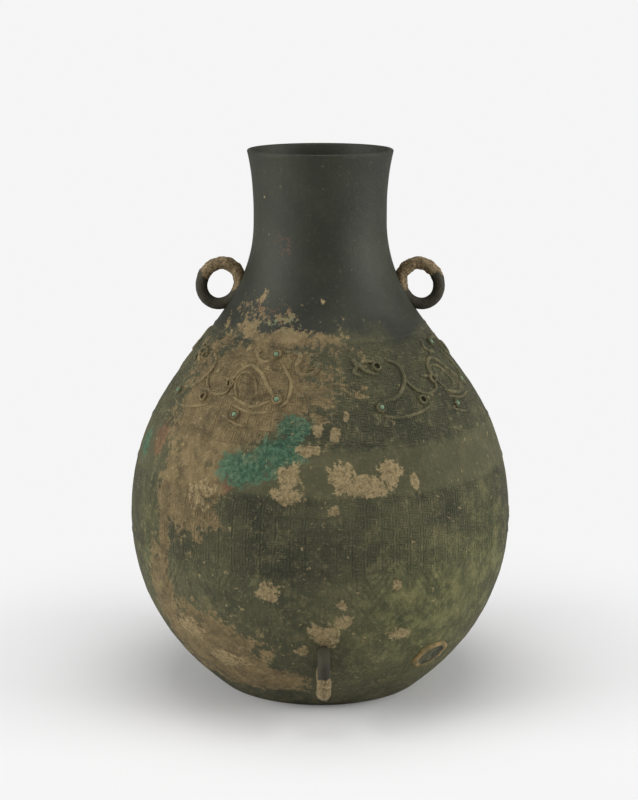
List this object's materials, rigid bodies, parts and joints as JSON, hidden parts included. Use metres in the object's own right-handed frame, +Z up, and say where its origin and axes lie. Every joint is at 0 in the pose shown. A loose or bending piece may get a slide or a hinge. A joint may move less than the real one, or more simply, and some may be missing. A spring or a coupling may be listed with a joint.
{
  "type": "hu wine jar",
  "caption": "Cast bronze pear-shaped wine jar with a narrow neck, ring handles at the neck, a ring low on the front and a socketed frieze.",
  "frame": {"origin": "middle of the flat base, on the surface that the jar stands on", "axes": "+Z up along the jar's axis, -Y towards the front, where the low ring is, and +X to the right of someone facing the front"},
  "size_m": [0.2504, 0.2583, 0.35],
  "materials": {
    "vessel_bronze": "corroded, dark olive-brown patina",
    "ring_bronze": "worn, dark grey-brown with crust",
    "repair_bronze": "rough cast, ochre crust",
    "inlay": "weathered, matt pale green"
  },
  "bodies": {
    "root": {"vessel_body": "vessel_bronze", "ring_handle_left": "ring_bronze", "ring_handle_right": "ring_bronze", "ring_handle_front": "ring_bronze", "repair_patch": "repair_bronze", "socket_inlay_01": "inlay", "socket_inlay_02": "inlay", "socket_inlay_03": "inlay", "socket_inlay_04": "inlay", "socket_inlay_05": "inlay", "socket_inlay_06": "inlay", "socket_inlay_07": "inlay", "socket_inlay_08": "inlay", "socket_inlay_09": "inlay", "socket_inlay_10": "inlay", "socket_inlay_11": "inlay", "socket_inlay_12": "inlay", "socket_inlay_13": "inlay", "socket_inlay_14": "inlay", "socket_inlay_15": "inlay", "socket_inlay_16": "inlay"}
  },
  "joints": []
}
